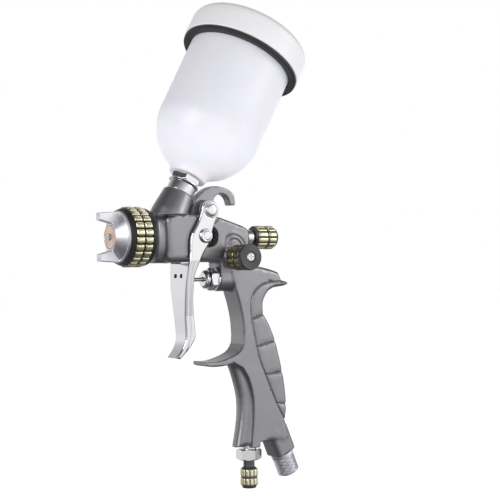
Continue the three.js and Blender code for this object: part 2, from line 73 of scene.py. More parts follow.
# Shapes are made in millimetres from the barrel's axis, as in the CAD, and go to metres in the row frame
# when their meshes are made.
MM = 0.001
VOXEL = 1.0  # factor on each carved piece's voxel
X_AXIS = np.array([1.0, 0, 0])
Y_AXIS = np.array([0, 1.0, 0])
Z_AXIS = np.array([0, 0, 1.0])


# ---------- places, from the frame ----------
def middle(node):
    low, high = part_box(node)
    return np.array((low + high) / 2) / MM


SLEEVE_END = 36.0  # where the adjuster sleeve ends along the barrel, in millimetres
ORIGIN = np.array([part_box("adjuster_sleeve")[1].x / MM - SLEEVE_END, 0.0, middle("air_cap_insert")[2]])


def centre(node):
    return middle(node) - ORIGIN


def foot_of(node, axis, lowest):
    """The zero of a turned node's axis, when its lowest point along the axis is known."""
    points = np.array([v.co for v in frame["nodes"][node].data.vertices]) / MM - ORIGIN
    along = points @ axis
    side = np.array([axis[2], 0, -axis[0]])
    across = points @ side
    return axis * (along.min() - lowest) + side * (across.min() + across.max()) / 2


def unit(vector):
    return np.array(vector, float) / np.linalg.norm(vector)


CUP_AXIS = unit(next(j for j in frame["joints"] if j["name"] == "cup_lift")["axis"])
CUP = foot_of("cup_band", CUP_AXIS, 82.0)
INLET_AXIS = unit(next(m for m in frame["record"]["mounts"] if m["name"] == "air_inlet_end")["axis"])
INLET = foot_of("air_inlet_nipple", INLET_AXIS, -25.0)
PIVOT = centre("pivot_pin") * [1, 0, 1]
PULL_BAR = centre("pull_bar") * [1, 0, 1]
FAN = centre("fan_bushing") * [1, 0, 1]
VALVE = centre("air_valve_stem") * [0, 0, 1]
MICROMETER = centre("micrometer_knob") * [1, 0, 0]
BARREL = np.zeros(3)

BODY_HALF = 8.6
HANDLE_HALF = 7.5
NOSE_HALF = 4.4
HOOK_HALF = 3.1
WAIST_R = 14.5
NECK_HALF = 6.4


# ---------- fields: negative inside, in millimetres ----------
def blend_min(a, b, width):
    h = np.clip(0.5 + 0.5 * (b - a) / width, 0, 1)
    return b + (a - b) * h - width * h * (1 - h)


def blend_max(a, b, width):
    return -blend_min(-a, -b, width)


def step(value, low, high):
    t = np.clip((value - low) / (high - low), 0, 1)
    return t * t * (3 - 2 * t)


def bump(distance, width):
    return np.exp(-((distance / width) ** 2))


def both(a, b, edge):
    """Where two fields meet, with the corner between them rounded by edge."""
    a = a + edge
    b = b + edge
    return np.minimum(np.maximum(a, b), 0) + np.hypot(np.maximum(a, 0), np.maximum(b, 0)) - edge


def outline_field(points, u, v, closed=True):
    """Distance to an outline in a plane, signed when it is closed."""
    ends = list(zip(points, points[1:] + points[:1] if closed else points[1:]))
    nearest = inside = None
    for (au, av), (bu, bv) in ends:
        eu, ev = bu - au, bv - av
        pu, pv = u - au, v - av
        t = np.clip((pu * eu + pv * ev) / (eu * eu + ev * ev), 0, 1)
        squared = (pu - eu * t) ** 2 + (pv - ev * t) ** 2
        nearest = squared if nearest is None else np.minimum(nearest, squared)
        crossed = ((av > v) != (bv > v)) & ((ev * pu - eu * pv < 0) == (bv > av))
        inside = crossed if inside is None else inside ^ crossed
    distance = np.sqrt(nearest)
    return np.where(inside, -distance, distance) if closed else distance


def polar(p, base, axis):
    """Place along an axis and distance from it. Every axis lies along Y or in the XZ plane."""
    x, y, z = p
    u, w = x - base[0], z - base[2]
    if abs(axis[1]) > 0.5:
        return (y - base[1]) * axis[1], np.hypot(u, w)
    return u * axis[0] + w * axis[2], np.hypot(u * axis[2] - w * axis[0], y)


def rod_field(p, base, axis, start, end, radius, edge=0.0):
    along, out = polar(p, base, axis)
    return both(np.abs(along - (start + end) / 2) - abs(end - start) / 2, out - radius, edge)


def plate_field(p, outline, half, edge):
    return both(outline_field(outline, p[0], p[2]), np.abs(p[1]) - half, edge)


def between_field(p, start, end, radius):
    axis = np.array([end[0] - start[0], 0, end[1] - start[1]])
    length = np.linalg.norm(axis)
    return rod_field(p, (start[0], 0, start[1]), axis / length, 0, length, radius)


def smooth(points, count):
    """A Catmull-Rom curve through the points."""
    ends = [points[0], *points, points[-1]]
    made = []
    steps = len(points) - 1
    for i in range(count + 1):
        t = i / count * steps
        k = min(int(t), steps - 1)
        t -= k
        a, b, c, d = (np.array(q, float) for q in ends[k : k + 4])
        q = 0.5 * (2 * b + (c - a) * t + (2 * a - 5 * b + 4 * c - d) * t**2 + (3 * b - a - 3 * c + d) * t**3)
        made.append(tuple(q))
    return made


def arc(x, y, radius, start, end, steps):
    angles = np.radians(np.linspace(start, end, steps + 1))
    return [(x + radius * math.cos(a), y + radius * math.sin(a)) for a in angles]


# ---------- meshes ----------
SLOPE_REACH = 0.04  # to each side of a point, when a field's slope is measured
materials = {}


def finished(name, mesh, body, slot, replaces=(), look=None):
    piece = bpy.data.objects.new(name, mesh)
    bpy.context.scene.collection.objects.link(piece)
    mesh.materials.append(materials[look or slot])
    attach(piece, body)
    if replaces:
        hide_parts(*replaces)
    return piece


def new_mesh(name, points, faces):
    mesh = bpy.data.meshes.new(name)
    mesh.from_pydata(((points + ORIGIN) * MM).tolist(), [], faces)
    return mesh


def carved(name, field, low, high, voxel, body, slot, replaces=(), look=None, merge=0.0, tone=None):
    """A piece from a field: its zero surface, moved on to the exact surface, with the field's own normals."""
    voxel *= VOXEL
    axes = [np.arange(a, b + voxel, voxel) for a, b in zip(low, high)]
    grid = [
        axis.astype(np.float32).reshape([-1 if i == j else 1 for j in range(3)])
        for i, axis in enumerate(axes)
    ]
    values = np.broadcast_to(field(grid), [len(a) for a in axes]).astype(np.float32)
    volume = openvdb.FloatGrid(1.0)
    volume.copyFromArray(values)
    points, triangles, quads = volume.convertToPolygons(0.0, merge)
    points = points * voxel + np.array(low)

    def slope(q):
        grads = []
        for k in range(3):
            shift = np.zeros(3)
            shift[k] = SLOPE_REACH
            ahead = field(list((q + shift).T))
            behind = field(list((q - shift).T))
            grads.append((ahead - behind) / (2 * SLOPE_REACH))
        return np.array(grads).T

    for _ in range(2):
        grad = slope(points)
        squared = np.maximum((grad**2).sum(1), 0.2)
        move = np.clip(field(list(points.T)) / squared, -0.5 * voxel, 0.5 * voxel)
        points = points - grad * move[:, None]
    normals = slope(points)
    normals /= np.maximum(np.linalg.norm(normals, axis=1, keepdims=True), 1e-6)
    mesh = new_mesh(name, points, quads.tolist() + triangles.tolist())
    mesh.shade_smooth()
    mesh.normals_split_custom_set_from_vertices(normals.tolist())
    # tone gives a depth that the material darkens as painted shade
    if tone:
        recess = mesh.attributes.new("recess", "FLOAT", "POINT")
        recess.data.foreach_set("value", tone(*points.T).astype(np.float32))
    return finished(name, mesh, body, slot, replaces, look)


def eased(profile, ease, closed):
    """A profile with its corners turned into short curves. A third number in a corner is its own ease."""
    made = []
    count = len(profile)
    for i, corner in enumerate(profile):
        here = np.array(corner[:2], float)
        amount = corner[2] if len(corner) > 2 else ease
        if (not closed and i in (0, count - 1)) or amount == 0:
            made.append(here)
            continue
        before = np.array(profile[i - 1][:2], float) - here
        after = np.array(profile[(i + 1) % count][:2], float) - here
        lengths = np.linalg.norm(before), np.linalg.norm(after)
        turn = before @ after / (lengths[0] * lengths[1])
        if turn < -0.985:
            made.append(here)
            continue
        reach = min(amount, 0.45 * lengths[0], 0.45 * lengths[1])
        start = here + before / lengths[0] * reach
        end = here + after / lengths[1] * reach
        for t in np.linspace(0, 1, 5):
            made.append(start * (1 - t) ** 2 + here * 2 * t * (1 - t) + end * t * t)
    return made


def spin(
    name, profile, base, axis, body, slot, replaces=(), look=None,
    ease=0.15, steps=96, shape=None, pace=None, tone=None,
):
    """A turned piece. shape(along, angle, radius) may change the radius, and tone(along, angle) gives the depth of
    its recesses to the material, which darkens them as painted shade."""
    closed = profile[0][1] > 0 or profile[-1][1] > 0
    line = eased(profile, ease, closed)
    if pace:
        dense = []
        for i, a in enumerate(line):
            if i == len(line) - 1 and not closed:
                dense.append(a)
                break
            b = line[(i + 1) % len(line)]
            cuts = max(1, math.ceil(np.linalg.norm(b - a) / pace))
            dense += [a + (b - a) * k / cuts for k in range(cuts)]
        line = dense
    line = np.array(line)
    angles = np.arange(steps) * 2 * math.pi / steps
    along = np.repeat(line[:, :1], steps, 1)
    radius = np.repeat(line[:, 1:], steps, 1)
    turn = np.repeat(angles[None, :], len(line), 0)
    if shape:
        radius = shape(along, turn, radius)
    first = Y_AXIS if abs(axis[1]) < 0.5 else X_AXIS
    second = np.cross(axis, first)
    points = (
        base
        + along[..., None] * axis
        + (radius * np.cos(turn))[..., None] * first
        + (radius * np.sin(turn))[..., None] * second
    ).reshape(-1, 3)
    rows = len(line)
    faces = []
    for i in range(rows if closed else rows - 1):
        j = (i + 1) % rows
        for k in range(steps):
            n = (k + 1) % steps
            faces.append((i * steps + k, i * steps + n, j * steps + n, j * steps + k))
    mesh = new_mesh(name, points, faces)
    if tone:
        recess = mesh.attributes.new("recess", "FLOAT", "POINT")
        recess.data.foreach_set("value", tone(along, turn).astype(np.float32).ravel())
    shaped = bmesh.new()
    shaped.from_mesh(mesh)
    bmesh.ops.remove_doubles(shaped, verts=shaped.verts, dist=1e-7)
    bmesh.ops.dissolve_degenerate(shaped, edges=shaped.edges, dist=1e-7)
    bmesh.ops.recalc_face_normals(shaped, faces=shaped.faces)
    shaped.to_mesh(mesh)
    shaped.free()
    mesh.shade_smooth()
    mesh.set_sharp_from_angle(angle=math.radians(38))
    return finished(name, mesh, body, slot, replaces, look)


def sleeve(start, end, inner, outer):
    return [(start, inner), (start, outer), (end, outer), (end, inner)]


def hexed(across, start, end, turned=0.0):
    def shape(along, turn, radius):
        folded = (turn - math.radians(turned) + math.pi / 6) % (math.pi / 3) - math.pi / 6
        limit = across / 2 / np.cos(folded)
        return np.where((along > start) & (along < end), np.minimum(radius, limit), radius)

    return shape


def coil(name, start, end, radius, wire, turns, base, body, node):
    steps, sides = turns * 40, 12
    t = np.linspace(0, 1, steps + 1)
    # the last turn at each end is closed and ground flat
    lift = np.interp(t, [0, 1 / turns, 1 - 1 / turns, 1], [0, 0.06, 0.94, 1])
    angle = t * turns * 2 * math.pi
    rise = start + wire + (end - start - 2 * wire) * lift
    line = np.stack([rise, radius * np.cos(angle), radius * np.sin(angle)], 1)
    ahead = np.gradient(line, axis=0)
    ahead /= np.linalg.norm(ahead, axis=1, keepdims=True)
    out = np.stack([0 * angle, np.cos(angle), np.sin(angle)], 1)
    up = np.cross(ahead, out)
    around = np.arange(sides) * 2 * math.pi / sides
    rings = (
        line[:, None]
        + wire * (np.cos(around)[None, :, None] * out[:, None] + np.sin(around)[None, :, None] * up[:, None])
    )
    faces = []
    for i in range(steps):
        for k in range(sides):
            n = (k + 1) % sides
            faces.append((i * sides + k, i * sides + n, (i + 1) * sides + n, (i + 1) * sides + k))
    faces.append(tuple(range(sides)))
    faces.append(tuple(steps * sides + k for k in reversed(range(sides))))
    mesh = new_mesh(name, rings.reshape(-1, 3) + base, faces)
    shaped = bmesh.new()
    shaped.from_mesh(mesh)
    bmesh.ops.recalc_face_normals(shaped, faces=shaped.faces)
    shaped.to_mesh(mesh)
    shaped.free()
    mesh.shade_smooth()
    mesh.set_sharp_from_angle(angle=math.radians(50))
    return finished(name, mesh, body, "steel", [node])


# ---------- materials ----------
def fill_ramp(node, stops):
    """Sets a ramp's stops, given in order as places and colours."""
    elements = node.color_ramp.elements
    for element, (place, _) in zip((elements[0], elements[-1]), (stops[0], stops[-1])):
        element.position = place
    for place, _ in stops[1:-1]:
        elements.new(place)
    for element, (_, colour) in zip(elements, stops):
        element.color = (*colour, 1)


class Look:
    """A material whose colour, roughness and relief come from nodes in object coordinates."""

    def __init__(self, name, metallic, **fixed):
        self.material = bpy.data.materials.new(name)
        self.material.use_nodes = True
        self.tree = self.material.node_tree
        self.shader = self.tree.nodes["Principled BSDF"]
        self.shader.inputs["Metallic"].default_value = metallic
        for key, value in fixed.items():
            self.shader.inputs[key.replace("_", " ")].default_value = value
        self.where = self.tree.nodes.new("ShaderNodeTexCoord").outputs["Object"]
        materials[name] = self.material

    def node(self, kind, links=(), **settings):
        made = self.tree.nodes.new("ShaderNode" + kind)
        for key, value in settings.items():
            if hasattr(made, key):
                setattr(made, key, value)
            else:
                made.inputs[key.replace("_", " ")].default_value = value
        for source, target in links:
            self.tree.links.new(source, made.inputs[target])
        return made

    def noise(self, scale, detail=3.0, stretch=(1, 1, 1)):
        scaled = self.node("Mapping", [(self.where, "Vector")])
        scaled.inputs["Scale"].default_value = stretch
        return self.node("TexNoise", [(scaled.outputs[0], "Vector")], Scale=scale, Detail=detail).outputs[0]

    def colours(self, value, *stops):
        ramp = self.node("ValToRGB", [(value, "Fac")])
        fill_ramp(ramp, stops)
        return ramp.outputs[0]

    def colour(self, output):
        self.tree.links.new(output, self.shader.inputs["Base Color"])

    def roughness(self, value, low, high):
        spread = self.node("MapRange", [(value, "Value")])
        spread.inputs["From Min"].default_value = 0.3
        spread.inputs["From Max"].default_value = 0.7
        spread.inputs["To Min"].default_value = low
        spread.inputs["To Max"].default_value = high
        self.tree.links.new(spread.outputs[0], self.shader.inputs["Roughness"])

    def relief(self, value, depth):
        raised = self.node("Bump", [(value, "Height")])
        raised.inputs["Strength"].default_value = 1.0
        raised.inputs["Distance"].default_value = depth * MM
        self.tree.links.new(raised.outputs[0], self.shader.inputs["Normal"])


def around(colour, spread):
    """Two colours about one, for slow variation over a surface."""
    return [(0.35, [c * (1 - spread) for c in colour]), (0.65, [c * (1 + spread) for c in colour])]


def plain_look(name, colour, metallic, rough, grain, depth, spread=0.05, **fixed):
    look = Look(name, metallic, **fixed)
    look.colour(look.colours(look.noise(60, 2), *around(colour, spread)))
    look.roughness(look.noise(grain / 4, 3), *rough)
    look.relief(look.noise(grain, 2), depth)


plain_look("paint", (0.325, 0.318, 0.336), 0.95, (0.3, 0.37), 2600, 0.012, 0.04)
plain_look("chrome", (0.86, 0.86, 0.88), 1.0, (0.07, 0.13), 500, 0.002, 0.02)
plain_look("satin", (0.86, 0.85, 0.9), 1.0, (0.36, 0.44), 700, 0.003, 0.02)
plain_look("steel", (0.62, 0.62, 0.64), 1.0, (0.2, 0.32), 900, 0.004)
plain_look("black", (0.022, 0.022, 0.026), 0.3, (0.3, 0.4), 1800, 0.008, 0.2)
plain_look("knob_black", (0.095, 0.093, 0.098), 0.75, (0.3, 0.38), 1800, 0.006, 0.12)
plain_look("rubber", (0.018, 0.018, 0.02), 0.0, (0.5, 0.62), 2200, 0.01, 0.15)
plain_look("plastic", (0.72, 0.72, 0.69), 0.0, (0.36, 0.48), 1500, 0.006)
plain_look(
    "lid", (0.84, 0.84, 0.86), 0.0, (0.3, 0.38), 1600, 0.006, 0.01,
    Subsurface_Weight=0.1, Subsurface_Scale=0.002,
)
plain_look(
    "cup", (0.84, 0.82, 0.89), 0.0, (0.28, 0.36), 1400, 0.006, 0.015,
    Subsurface_Weight=0.25, Subsurface_Scale=0.004,
)

copper = Look("copper", 1.0)
copper.colour(copper.colours(copper.noise(300, 3), *around((0.88, 0.68, 0.57), 0.08)))
copper.roughness(copper.noise(900), 0.2, 0.34)
copper.relief(copper.noise(2500, 2), 0.006)

# chrome with painted shade: dark in the trigger's two holes, where the hollow behind them stays unlit
chrome_hole_shade = Look("chrome_hole_shade", 1.0)
hole_shade_depth = chrome_hole_shade.node("Attribute", attribute_name="recess").outputs["Fac"]
chrome_hole_shade.colour(chrome_hole_shade.colours(hole_shade_depth, (0.2, (0.86, 0.86, 0.88)), (0.9, (0.05, 0.05, 0.055))))
chrome_hole_shade.roughness(chrome_hole_shade.noise(125), 0.08, 0.15)
chrome_hole_shade.relief(chrome_hole_shade.noise(500, 2), 0.002)

SHADED = 0.36  # of a pad's colour, kept low on its sides as painted shade
# painted shade: the near-black brown of the gaps between pads
GAP_SHADE = (0.04, 0.034, 0.016)
# the second brass is a darker copy, painted shade for the fan knob's pads, which face away from the light
for tint, pale in (("brass", (0.93, 0.89, 0.64)), ("shaded_brass", (0.36, 0.33, 0.19))):
    padded = Look(tint, 1.0)
    recess = padded.node("Attribute", attribute_name="recess").outputs["Fac"]
    shaded = [c * SHADED for c in pale]
    # pale on the pads' tops, with painted shade on their sides and in the gaps
    padded.colour(padded.colours(recess, (0.35, pale), (0.7, shaded), (0.95, GAP_SHADE)))
    padded.roughness(padded.noise(700), 0.22, 0.34)
    padded.relief(padded.noise(1800, 2), 0.005)


# ---------- body: one forging with the head, hook and handle ----------
HEAD_SIDE = [
    *arc(-21.5, 8.1, 4.5, 180, 90, 8),
    (4, 12.6), (6, 12.1), (9, 11.3), (19.9, 8), (25, 6.4), (28.2, 4.6), (29.8, 1.5), (29, -5), (33, -9),
    (33.6, -14), (37, -17.2), (20, -17.6), (14, -14.2),
    *arc(-22.5, -10.7, 3.5, 270, 180, 6),
]
HANDLE_FRONT = (
    smooth([(16.4, -16), (19.7, -28.5), (22.9, -38.7), (24.9, -47.9), (25.6, -57)], 10)
    + smooth([(25.2, -61.5), (22.6, -65.4), (17.3, -68.3), (7.3, -70.8), (-0.6, -70.6)], 12)
)
REST_UNDER = smooth([(-0.9, -72.4), (1.4, -73.4), (6, -73.7), (12, -73.4), (17.8, -72.1)], 12)
LOWER_FRONT = smooth([(23.8, -75.3), (28.1, -82), (31.2, -93), (31.3, -106), (29.6, -122)], 12)
FOOT = [(29.6, -122.2), (35.5, -122.2), (35.6, -119.2), (48.8, -120), (56.6, -119)]
REAR = (
    smooth([(55.3, -113.2), (54.3, -107.5), (55.1, -98), (53.1, -81.1), (47.7, -60.1)], 12)
    + smooth([(43.8, -51.5), (39.9, -44.8), (39.4, -38), (43, -31.9), (47.7, -29.4)], 12)
)
SPUR = [(54.8, -28.6), (57.8, -27.7), (57.2, -26.6), (53.1, -25.1)]
HUMP = smooth([(50.8, -20.6), (44.5, -18.6), (36.8, -17)], 6)
HANDLE_SIDE = HUMP + HANDLE_FRONT + REST_UNDER + LOWER_FRONT + FOOT + REAR + SPUR
NOSE_SIDE = [
    *smooth([(18.4, -72.5), (21.4, -80.3), (24.7, -93), (24.6, -106), (21.6, -121.6)], 12),
    (34, -122.2), (34, -72.5),
]
HOOK_SIDE = [
    (-9, 11),
    *smooth([(-7.3, 18.3), (-3, 22.4), (1.8, 26.5), (8, 29.3), (16.3, 28.5), (22.1, 25.2), (23.4, 19.7)], 20),
    (22.9, 18.6), (20.1, 18.6), *arc(13.8, 19.4, 5.7, 8, 172, 20), (7.5, 16.5), (6.5, 11),
]
PANEL = smooth(
    [
        (53.4, -26.2), (46.4, -26.3), (39.5, -27.3), (34.8, -29.8), (31.4, -33.9), (30.3, -39.8),
        (30.8, -48.1), (32.6, -57.4), (35.7, -70.5), (40.6, -82), (46.1, -94.5), (49.5, -101.3),
        (53.4, -107.3), (60, -114),
    ],
    40,
)
CROSS_GROOVES = [
    [(30.6, -47.9), (39.7, -44.8), (48, -42)],
    [(34, -63.8), (47.4, -61), (56, -59.4)],
    [(39.7, -80.5), (52.5, -79.4), (62, -78.6)],
    [(47.3, -97.6), (54.8, -98.6), (62, -99.4)],
]
FAN_ARCHES = [
    smooth([(12.6, -8), (12.5, -2.5), (13.6, 0.3), (17.4, 1.5), (21.4, 0.4), (24.6, -2.2), (26, -5)], 16),
    smooth([(14.6, -4.6), (15.6, -2), (18, -1), (21, -2), (23.4, -4.4)], 10),
]


def handle_field(p):
    x, y, z = p
    wide = np.abs(y)
    side = outline_field(HANDLE_SIDE, x, z)
    from_front = np.minimum(
        outline_field(HANDLE_FRONT, x, z, closed=False),
        outline_field(LOWER_FRONT, x, z, closed=False),
    )
    edge = 0.7 + 1.7 * step(from_front, 5, 14)
    handle = both(side, wide - HANDLE_HALF, edge)
    border = outline_field(PANEL, x, z, closed=False)
    on_panel = outline_field([*PANEL, (70, -114), (70, -26.2)], x, z) < 0
    cross = np.minimum.reduce([outline_field(line, x, z, closed=False) for line in CROSS_GROOVES])
    cross = np.where(on_panel, cross, 9.0)
    grooves = 0.55 * bump(border, 0.42) + 0.45 * bump(cross, 0.4)
    nearest = np.minimum(border, cross)
    pillow = np.where(on_panel, 0.22 * step(nearest, 0.2, 3.0), 0.0)
    handle = handle + grooves - pillow
    nose = plate_field(p, NOSE_SIDE, NOSE_HALF, 3.4)
    return blend_min(handle, nose, 2.2)


def head_field(p):
    x, y, z = p
    wide = np.abs(y)
    edge = 1.8 + 1.8 * step(-z, 2, 9) + 1.0 * step(-x, 19, 23) * (1 - step(-z, 2, 9))
    block = both(outline_field(HEAD_SIDE, x, z), wide - BODY_HALF, edge)
    _, from_pivot = polar(p, PIVOT, Y_AXIS)
    block = block + np.where(wide > 6, 0.4 * bump(from_pivot - 8.2, 0.4), 0.0)
    half = WAIST_R - (WAIST_R - NECK_HALF) * step(x, -36, -29.5)
    narrowed = half / WAIST_R
    waist = both(np.abs(x + 27.8) - 7.8, (np.hypot(y / narrowed, z) - WAIST_R) * narrowed, 0.7)
    along, out = polar(p, BARREL, X_AXIS)
    rear_radius = np.interp(along, [16, 26, 31.3], [8.5, 7.6, 5.8])
    rear = both(np.abs(along - 23.6) - 7.7, (out - rear_radius) * 0.96, 0.7)
    head = blend_min(block, waist, 0.8)
    head = np.minimum(head, rod_field(p, BARREL, X_AXIS, -44.6, -35, 12.4, 0.4))
    return blend_min(head, rear, 1.6)


def boss_field(p):
    x, y, z = p
    to_crown = outline_field([(FAN[0], FAN[2]), (FAN[0] - 0.4, FAN[2] + 5)], x, z, closed=False)
    fan = both(to_crown - 8.2, np.abs(y + 3.4) - 3.4, 1.2)
    arch = np.hypot(y, np.minimum(z - VALVE[2], 0)) - 7
    valve = np.maximum(both(arch, np.abs(x - 16.5) - 6, 0.7), z + 10)
    return fan, valve


def body_field(p):
    x, y, z = p
    wide = np.abs(y)
    fan, valve = boss_field(p)
    solid = blend_min(head_field(p), handle_field(p), 1.4)
    solid = blend_min(solid, valve, 1.2)
    hook = plate_field(p, HOOK_SIDE, HOOK_HALF, 0.6)
    solid = blend_min(solid, hook, 1.2)
    solid = blend_min(solid, rod_field(p, PIVOT, Y_AXIS, -8.9, 8.9, 6, 0.3), 0.5)
    solid = blend_min(solid, fan, 1.6)
    arches = np.minimum.reduce([outline_field(line, x, z, closed=False) for line in FAN_ARCHES])
    solid = solid + np.where(y < -6, 0.42 * bump(arches, 0.45), 0.0)
    solid = blend_min(solid, rod_field(p, FAN, Y_AXIS, -10, 0, 6.2, 0.3), 0.4)
    along, out = polar(p, CUP, CUP_AXIS)
    taper = np.interp(along, [-33, -19, -6.4], [10.9, 10.6, 9.1])
    cup_boss = both(np.abs(along + 19.7) - 13.3, out - taper, 0.8)
    cup_boss = blend_max(cup_boss, np.where(wide > 4, 12.3 - z, -9.0), 0.5)
    solid = blend_min(solid, cup_boss, 0.9)
    along, _ = polar(p, INLET, INLET_AXIS)
    across = (x - INLET[0]) * INLET_AXIS[2] - (z - INLET[2]) * INLET_AXIS[0]
    inlet_boss = both(both(np.abs(across) - 7, wide - 7.2, 3.2), np.abs(along + 21.95) - 8.05, 0.7)
    solid = blend_min(solid, inlet_boss, 0.8)
    window = outline_field([(-1, 0.3), (1.6, 0.3)], x, z, closed=False) - 6
    seat = np.maximum(np.maximum(np.abs(x - 13.8) - 1, wide - 4), np.abs(z - 24.6) - 0.5)
    cuts = [
        (window, 0.6),
        (rod_field(p, BARREL, X_AXIS, -46, -36.4, 5), 0.3),
        (rod_field(p, BARREL, X_AXIS, -37, -20, 3.6), 0.1),
        (rod_field(p, BARREL, X_AXIS, -21, -6, 1.6), 0.1),
        (rod_field(p, BARREL, X_AXIS, -16, -6, 3), 0.3),
        (rod_field(p, BARREL, X_AXIS, 6, 33, 4), 0.3),
        (rod_field(p, BARREL, X_AXIS, 22, 33, 4.8), 0.4),
        (rod_field(p, (0, 0, -9), X_AXIS, -46, 17, 1.8), 0.2),
        (rod_field(p, FAN, Y_AXIS, -12, 2, 3.6), 0.4),
        (rod_field(p, VALVE, X_AXIS, 9, 34.5, 4.5), 0.4),
        (between_field(p, (20, -10), (20, -24), 2.2), 0.1),
        (between_field(p, (26, -24), (32, -72), 2.6), 0.1),
        (between_field(p, (32, -72), (56, -128.4), 3.4), 0.1),
        (rod_field(p, INLET, INLET_AXIS, -26, -10, 4.6), 0.4),
        (rod_field(p, MICROMETER, Z_AXIS, -124, -111, 4.6), 0.4),
        (rod_field(p, MICROMETER, Z_AXIS, -112, -72, 3), 0.1),
        (rod_field(p, CUP, CUP_AXIS, -14, -6, 7.5), 0.3),
        (rod_field(p, CUP, CUP_AXIS, -34, -13, 3.4), 0.1),
        (rod_field(p, PIVOT, Y_AXIS, -14, 14, 2.3), 0.2),
        (seat, 0.1),
    ]
    for tool, edge in cuts:
        solid = blend_max(solid, -tool, edge)
    return solid


carved(
    "gun_forging", body_field, (-46, -15.5, -135), (61, 15.5, 31), 0.36, "gun", "paint", ["gun_body"],
    merge=0.04,
)


# ---------- trigger and pull bar ----------
LEVER_FRONT = smooth(
    [(-12.6, -9), (-14.3, -23), (-14.6, -31), (-14.1, -44), (-13.4, -56), (-15.4, -62.3), (-19.6, -67.4)], 30
)
TRIGGER_SIDE = [
    *smooth([(-4.6, 15), (-7.2, 8.5), (-11.9, 0.2), (-12.6, -9)], 10),
    *LEVER_FRONT[1:],
    *smooth([(-16.6, -68.2), (-11.4, -63.3), (-7.2, -57.2), (-7.1, -52), (-9.2, -35)], 14),
    *smooth([(-9.4, -23.5), (-7.5, -17), (-3.9, -9.5), (1.6, -1.5), (2.3, 3.7), (5.4, 11)], 16),
    *arc(PIVOT[0], PIVOT[2], 5.7, -35, 180, 28),
]
BEHIND_WEB = [
    *smooth(
        [
            (-12.3, -14.6), (-12.5, -23), (-12.8, -31), (-12.3, -44), (-11.6, -55), (-13.2, -61.4),
            (-18.8, -69.5),
        ],
        24,
    ),
    (20, -71), (20, -14.6),
]


def lever_holes(y, z):
    return np.hypot((np.abs(y) - 3.15) / 1.4, z + 21.8) - 1.05


def trigger_field(p):
    x, y, z = p
    wide = np.abs(y)
    width = np.interp(z, [-69, -58, -44, -13, 22], [5.6, 6.3, 7, 11.4, 11.4])
    blank = both(outline_field(TRIGGER_SIDE, x, z), (wide - width) * 0.99, 1.4)
    hollow = both(outline_field(BEHIND_WEB, x, z), wide - (width - 1.8), 0.8)
    between_arms = both(-14.7 - z, wide - 9.6, 1.2)
    solid = blend_max(blank, -hollow, 0.5)
    solid = blend_max(solid, -between_arms, 0.5)
    _, from_pivot = polar(p, PIVOT, Y_AXIS)
    solid = solid + np.where(wide > 10.5, 0.3 * bump(from_pivot - 4.1, 0.3), 0.0)
    from_front = outline_field(LEVER_FRONT, x, z, closed=False)
    solid = solid + np.where((wide > width - 1) & (z < -14), 0.35 * bump(from_front - 3, 0.55), 0.0)
    holes = lever_holes(y, z)
    for tool, edge in (
        (from_pivot - 2.3, 0.2),
        (polar(p, PULL_BAR, Y_AXIS)[1] - 2.4, 0.2),
        (np.maximum(holes, x + 8), 0.3),
    ):
        solid = blend_max(solid, -tool, edge)
    return solid


carved(
    "trigger_lever", trigger_field, (-22, -12.5, -71), (8, 12.5, 22), 0.32, "trigger", "chrome", ["trigger"],
    # the holes are painted dark, as shade
    look="chrome_hole_shade", tone=lambda x, y, z: 1 - step(lever_holes(y, z), -0.1, 0.35),
)


def pull_bar_field(p):
    _, y, z = p
    wide = np.abs(y)
    _, out = polar(p, PULL_BAR, Y_AXIS)
    bar = both(wide - 9.2, out - 3.2, 0.4)
    pin = both(wide - 12.2, out - 2.1, 0.1)
    head = np.maximum(both(wide - 13, out - 4.1 + 0.5 * step(wide, 12, 13), 0.5), 11.75 - wide)
    solid = np.minimum(np.minimum(bar, pin), head)
    slot = np.maximum(np.abs(z - PULL_BAR[2]) - 2.3, wide - 1.8)
    ring = np.where(wide > 12.6, 0.2 * bump(out - 2.4, 0.25), 0.0)
    return blend_max(solid + ring, -slot, 0.2)


carved(
    "pull_bar_pin", pull_bar_field, PULL_BAR - [4.6, 13.4, 4.6], PULL_BAR + [4.6, 13.4, 4.6], 0.16,
    "trigger", "chrome", ["pull_bar"],
)

# ---------- air cap ----------
CAP_SECTION = [
    (-57, 6.4), (-57, 6.9), (-52.6, 12.5), (-52.2, 12.9), (-52.8, 13.3), (-52.8, 13.8), (-52, 14.3),
    (-49, 14.3), (-49, 14.9), (-47.3, 14.9), (-47.3, 11.6),
    (-50.2, 11.6), (-54.4, 5.2), (-55.4, 5.2), (-55.4, 6.4),
]
HORN_SIDE = [(-63.9, 9.2), (-63.9, 13.1), (-52.4, 13.9), (-51.4, 12.6), (-53.5, 10), (-56, 7)]


def air_cap_field(p):
    x, y, z = p
    along, out = polar(p, BARREL, X_AXIS)
    shell = outline_field(CAP_SECTION, along, out) - 0.08
    height = np.abs(z)
    horn = both(outline_field(HORN_SIDE, x, height), np.abs(y) - 2.6, 0.45)
    jet = np.maximum(np.hypot(x + 62.2, y) - 0.45, height - 10.6)
    front_jet = np.maximum(np.hypot(y, height - 12.1) - 0.4, x + 62.6)
    cap = blend_min(shell, horn, 0.7)
    cap = blend_max(cap, -jet, 0.1)
    return blend_max(cap, -front_jet, 0.1)


carved(
    "air_cap_shell", air_cap_field, (-64.6, -15.4, -15.4), (-46.8, 15.4, 15.4), 0.24,
    "air_cap", "chrome", ["air_cap"], "satin",
)

